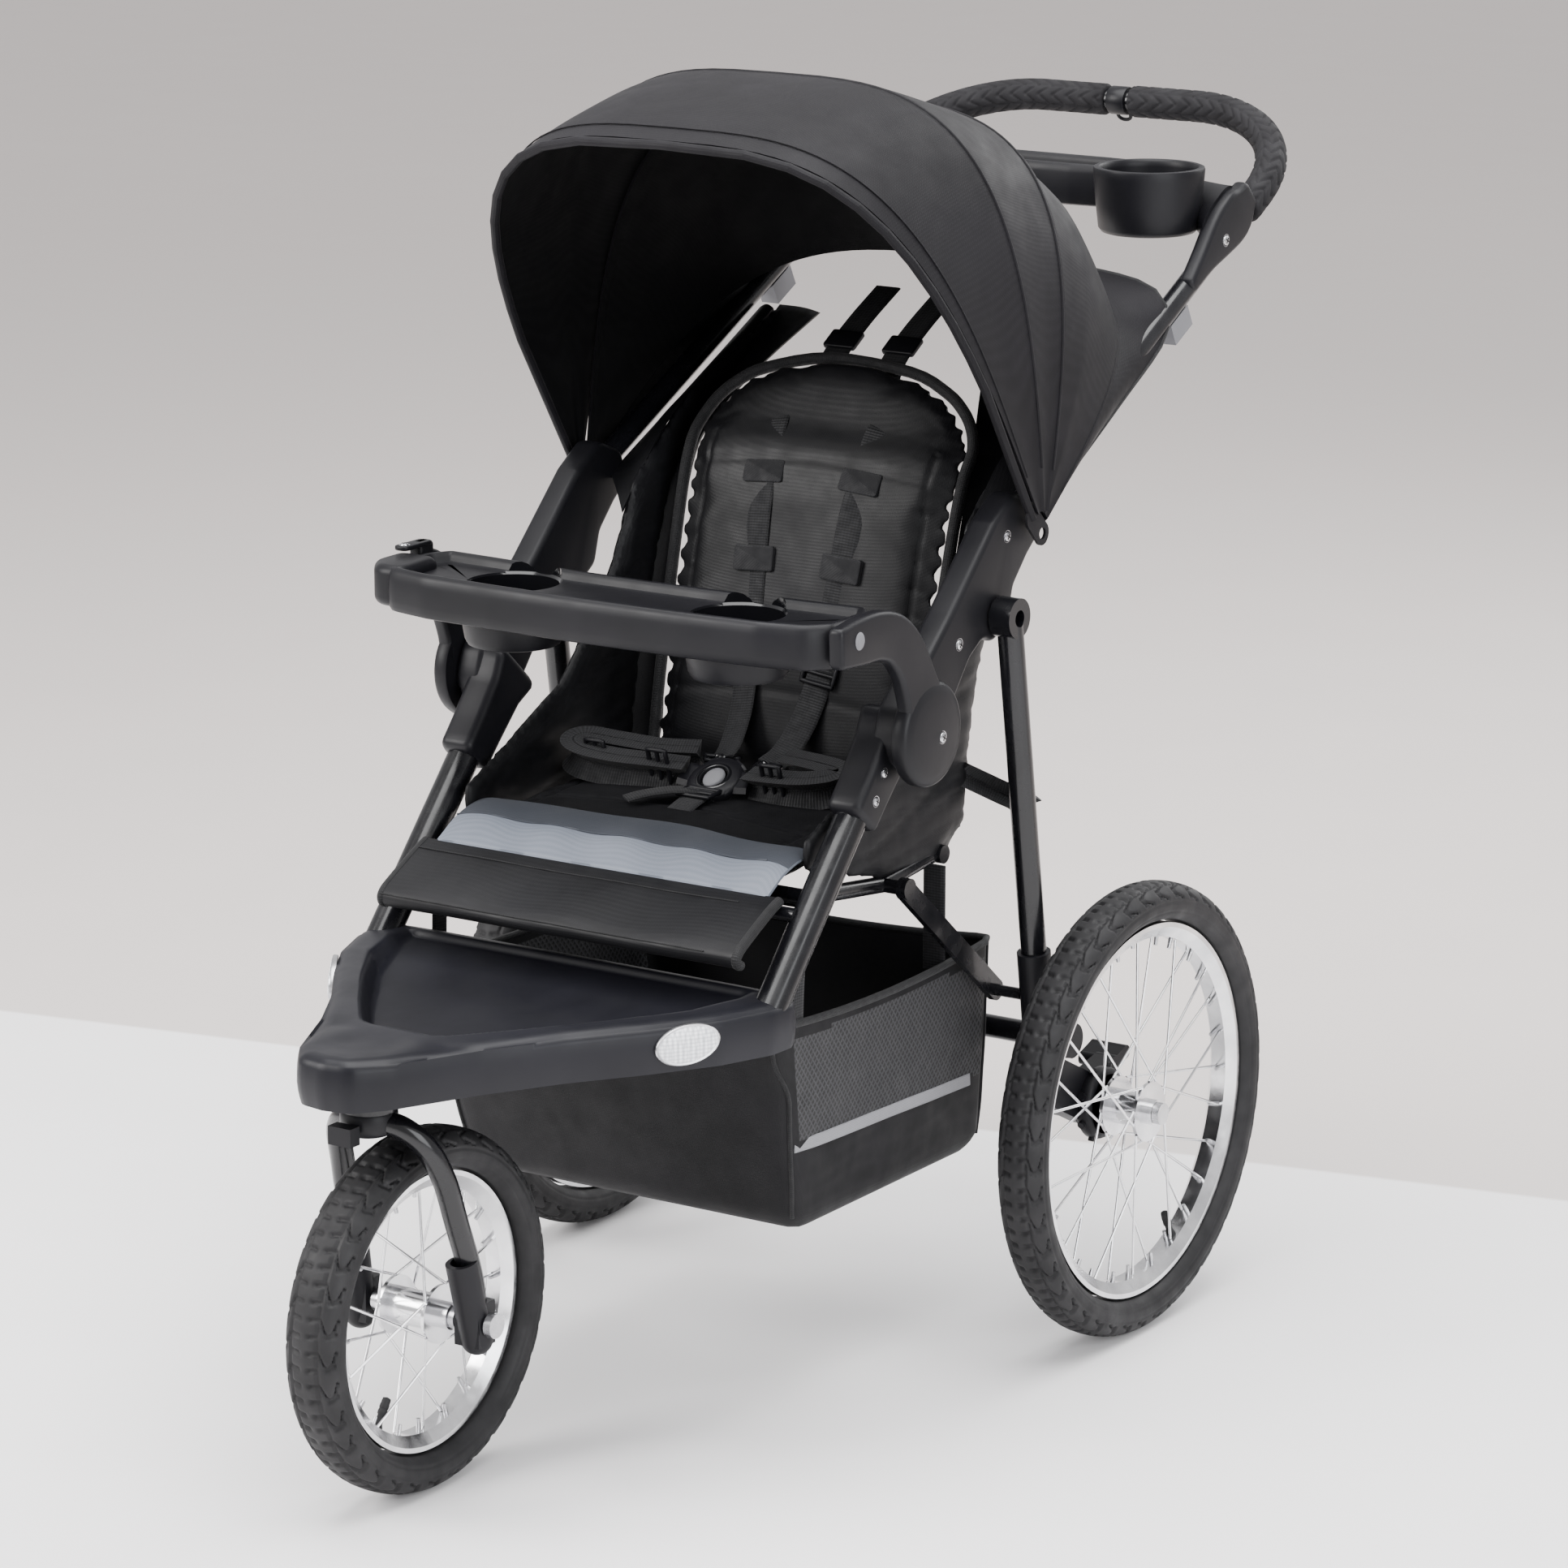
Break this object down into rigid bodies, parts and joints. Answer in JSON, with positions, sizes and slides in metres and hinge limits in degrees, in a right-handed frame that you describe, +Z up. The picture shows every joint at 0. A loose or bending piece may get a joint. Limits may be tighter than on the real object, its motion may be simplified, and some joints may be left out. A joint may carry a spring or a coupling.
{
  "type": "jogging stroller",
  "caption": "Folding jogging stroller with a swivel front wheel, spoked air tyres, canopy, harness seat, child tray, parent console and basket.",
  "frame": {"origin": "on the ground under the middle of the whole stroller, on its centre plane", "axes": "+Z up, -Y towards the front wheel (direction of travel), +X towards the child's left side"},
  "size_m": [0.625, 1.2482, 1.0805],
  "materials": {
    "black_tube": "gloss black powder coat",
    "black_plastic": "satin moulded",
    "gloss_black_plastic": "semi-gloss moulded",
    "grey_plastic": "satin moulded",
    "white_lens": "prismatic reflector",
    "black_fabric": "padded woven polyester",
    "blue_grey_fabric": "woven polyester",
    "canopy_fabric": "woven polyester with a soft sheen",
    "basket_fabric": "mesh and woven polyester",
    "webbing": "woven harness webbing",
    "foam": "matt foam",
    "tyre": "matt rubber",
    "alloy": "polished",
    "chrome_wire": "polished",
    "bright_steel": "zinc plated"
  },
  "bodies": {
    "front_frame": {"lower_tube_l": "black_tube", "lower_tube_r": "black_tube", "foot_shell": "black_plastic", "reflectors": "white_lens", "steering_head": "black_plastic", "lower_bracket_l": "black_plastic", "lower_bracket_r": "black_plastic", "seat_frame": "black_tube", "foot_panel": "black_fabric", "seat_front_strip": "blue_grey_fabric", "seat_pan": "black_fabric", "seat_wings": "black_fabric", "buckle": "black_plastic", "harness_straps": "webbing", "basket": "basket_fabric"},
    "upper_frame": {"upper_bracket_l": "black_plastic", "upper_bracket_r": "black_plastic", "handle_tube": "black_tube", "grip_l": "foam", "grip_r": "foam", "console": "black_plastic", "canopy_rear": "canopy_fabric"},
    "rear_legs": {"rear_leg_l": "black_tube", "rear_leg_r": "black_tube", "leg_foot_l": "black_plastic", "leg_foot_r": "black_plastic", "cross_tube": "black_tube", "rear_axles": "bright_steel"},
    "braces": {"brace_l": "bright_steel", "brace_r": "bright_steel"},
    "tray_arms": {"tray_arm_l": "black_plastic", "tray_arm_r": "black_plastic"},
    "tray": {"tray": "gloss_black_plastic"},
    "tray_button_left": {"tray_button_l": "grey_plastic"},
    "tray_button_right": {"tray_button_r": "grey_plastic"},
    "seat_back": {"seat_back": "black_fabric", "shoulder_straps": "webbing"},
    "canopy": {"canopy_front": "canopy_fabric", "canopy_hem": "canopy_fabric"},
    "fork": {"fork": "black_tube", "fork_covers": "black_plastic", "front_axle": "bright_steel"},
    "swivel_lock": {"swivel_lock": "grey_plastic"},
    "front_wheel": {"front_tyre": "tyre", "front_rim": "alloy", "front_spokes_set": "chrome_wire", "front_hub": "alloy"},
    "rear_wheel_left": {"rear_tyre_l": "tyre", "rear_rim_l": "alloy", "rear_spokes_l": "chrome_wire", "rear_hub_l": "alloy"},
    "rear_wheel_right": {"rear_tyre_r": "tyre", "rear_rim_r": "alloy", "rear_spokes_r": "chrome_wire", "rear_hub_r": "alloy"},
    "brake_left": {"brake_pedal_l": "black_plastic"},
    "brake_right": {"brake_pedal_r": "black_plastic"},
    "trigger_left": {"trigger_l": "grey_plastic"},
    "trigger_right": {"trigger_r": "grey_plastic"},
    "buckle_button": {"buckle_button": "grey_plastic"}
  },
  "joints": [
    {"name": "fold", "type": "hinge", "parent": "front_frame", "child": "upper_frame", "pos_m": [0, -0.08635, 0.573], "axis": [1, 0, 0], "range_deg": [0, 85]},
    {"name": "rear_leg_fold", "type": "hinge", "parent": "upper_frame", "child": "rear_legs", "pos_m": [0, 0.03465, 0.648], "axis": [1, 0, 0], "range_deg": [-42, 0]},
    {"name": "brace_fold", "type": "hinge", "parent": "front_frame", "child": "braces", "pos_m": [0, -0.05935, 0.431], "axis": [1, 0, 0], "range_deg": [0, 59]},
    {"name": "tray_fold", "type": "hinge", "parent": "front_frame", "child": "tray_arms", "pos_m": [0, -0.08635, 0.573], "axis": [1, 0, 0], "range_deg": [0, 47]},
    {"name": "tray_swing", "type": "hinge", "parent": "tray_arms", "child": "tray", "pos_m": [-0.23075, -0.17535, 0.666], "axis": [0, 0, 1], "range_deg": [-75, 0]},
    {"name": "tray_button_left", "type": "slide", "parent": "tray_arms", "child": "tray_button_left", "axis": [-1, 0, 0], "range_m": [0, 0.003], "stiffness_N_per_m": 300},
    {"name": "tray_button_right", "type": "slide", "parent": "tray", "child": "tray_button_right", "axis": [1, 0, 0], "range_m": [0, 0.003], "stiffness_N_per_m": 300},
    {"name": "recline", "type": "hinge", "parent": "front_frame", "child": "seat_back", "pos_m": [0, 0.03965, 0.468], "axis": [1, 0, 0], "range_deg": [-25, 0]},
    {"name": "canopy_tilt", "type": "hinge", "parent": "upper_frame", "child": "canopy", "pos_m": [0, 0.08665, 0.71], "axis": [1, 0, 0], "range_deg": [-38, 0]},
    {"name": "steer", "type": "hinge", "parent": "front_frame", "child": "fork", "pos_m": [0, -0.53435, 0.33], "axis": [0, 0, 1], "continuous": true},
    {"name": "swivel_lock", "type": "slide", "parent": "fork", "child": "swivel_lock", "axis": [0, 0, 1], "range_m": [0, 0.006]},
    {"name": "front_spin", "type": "hinge", "parent": "fork", "child": "front_wheel", "pos_m": [0, -0.47535, 0.1488], "axis": [1, 0, 0], "continuous": true},
    {"name": "rear_spin_left", "type": "hinge", "parent": "rear_legs", "child": "rear_wheel_left", "pos_m": [0.282, 0.16865, 0.198], "axis": [1, 0, 0], "continuous": true},
    {"name": "rear_spin_right", "type": "hinge", "parent": "rear_legs", "child": "rear_wheel_right", "pos_m": [-0.282, 0.16865, 0.198], "axis": [1, 0, 0], "continuous": true},
    {"name": "brake_left", "type": "hinge", "parent": "rear_legs", "child": "brake_left", "pos_m": [0.215, 0.16865, 0.198], "axis": [1, 0, 0], "range_deg": [-20, 0]},
    {"name": "brake_right", "type": "hinge", "parent": "rear_legs", "child": "brake_right", "pos_m": [-0.215, 0.16865, 0.198], "axis": [1, 0, 0], "range_deg": [-20, 0]},
    {"name": "trigger_left", "type": "slide", "parent": "upper_frame", "child": "trigger_left", "axis": [0, 0.8903, 0.4553], "range_m": [0, 0.008], "stiffness_N_per_m": 400},
    {"name": "trigger_right", "type": "slide", "parent": "upper_frame", "child": "trigger_right", "axis": [0, 0.8903, 0.4553], "range_m": [0, 0.008], "stiffness_N_per_m": 400},
    {"name": "buckle_button", "type": "slide", "parent": "front_frame", "child": "buckle_button", "axis": [0, 0, -1], "range_m": [0, 0.002], "stiffness_N_per_m": 300}
  ],
  "couplings": [
    {"joint": "rear_leg_fold", "follows": "fold", "ratio": -0.486},
    {"joint": "brace_fold", "follows": "fold", "ratio": 0.686},
    {"joint": "tray_fold", "follows": "fold", "ratio": 0.55}
  ]
}
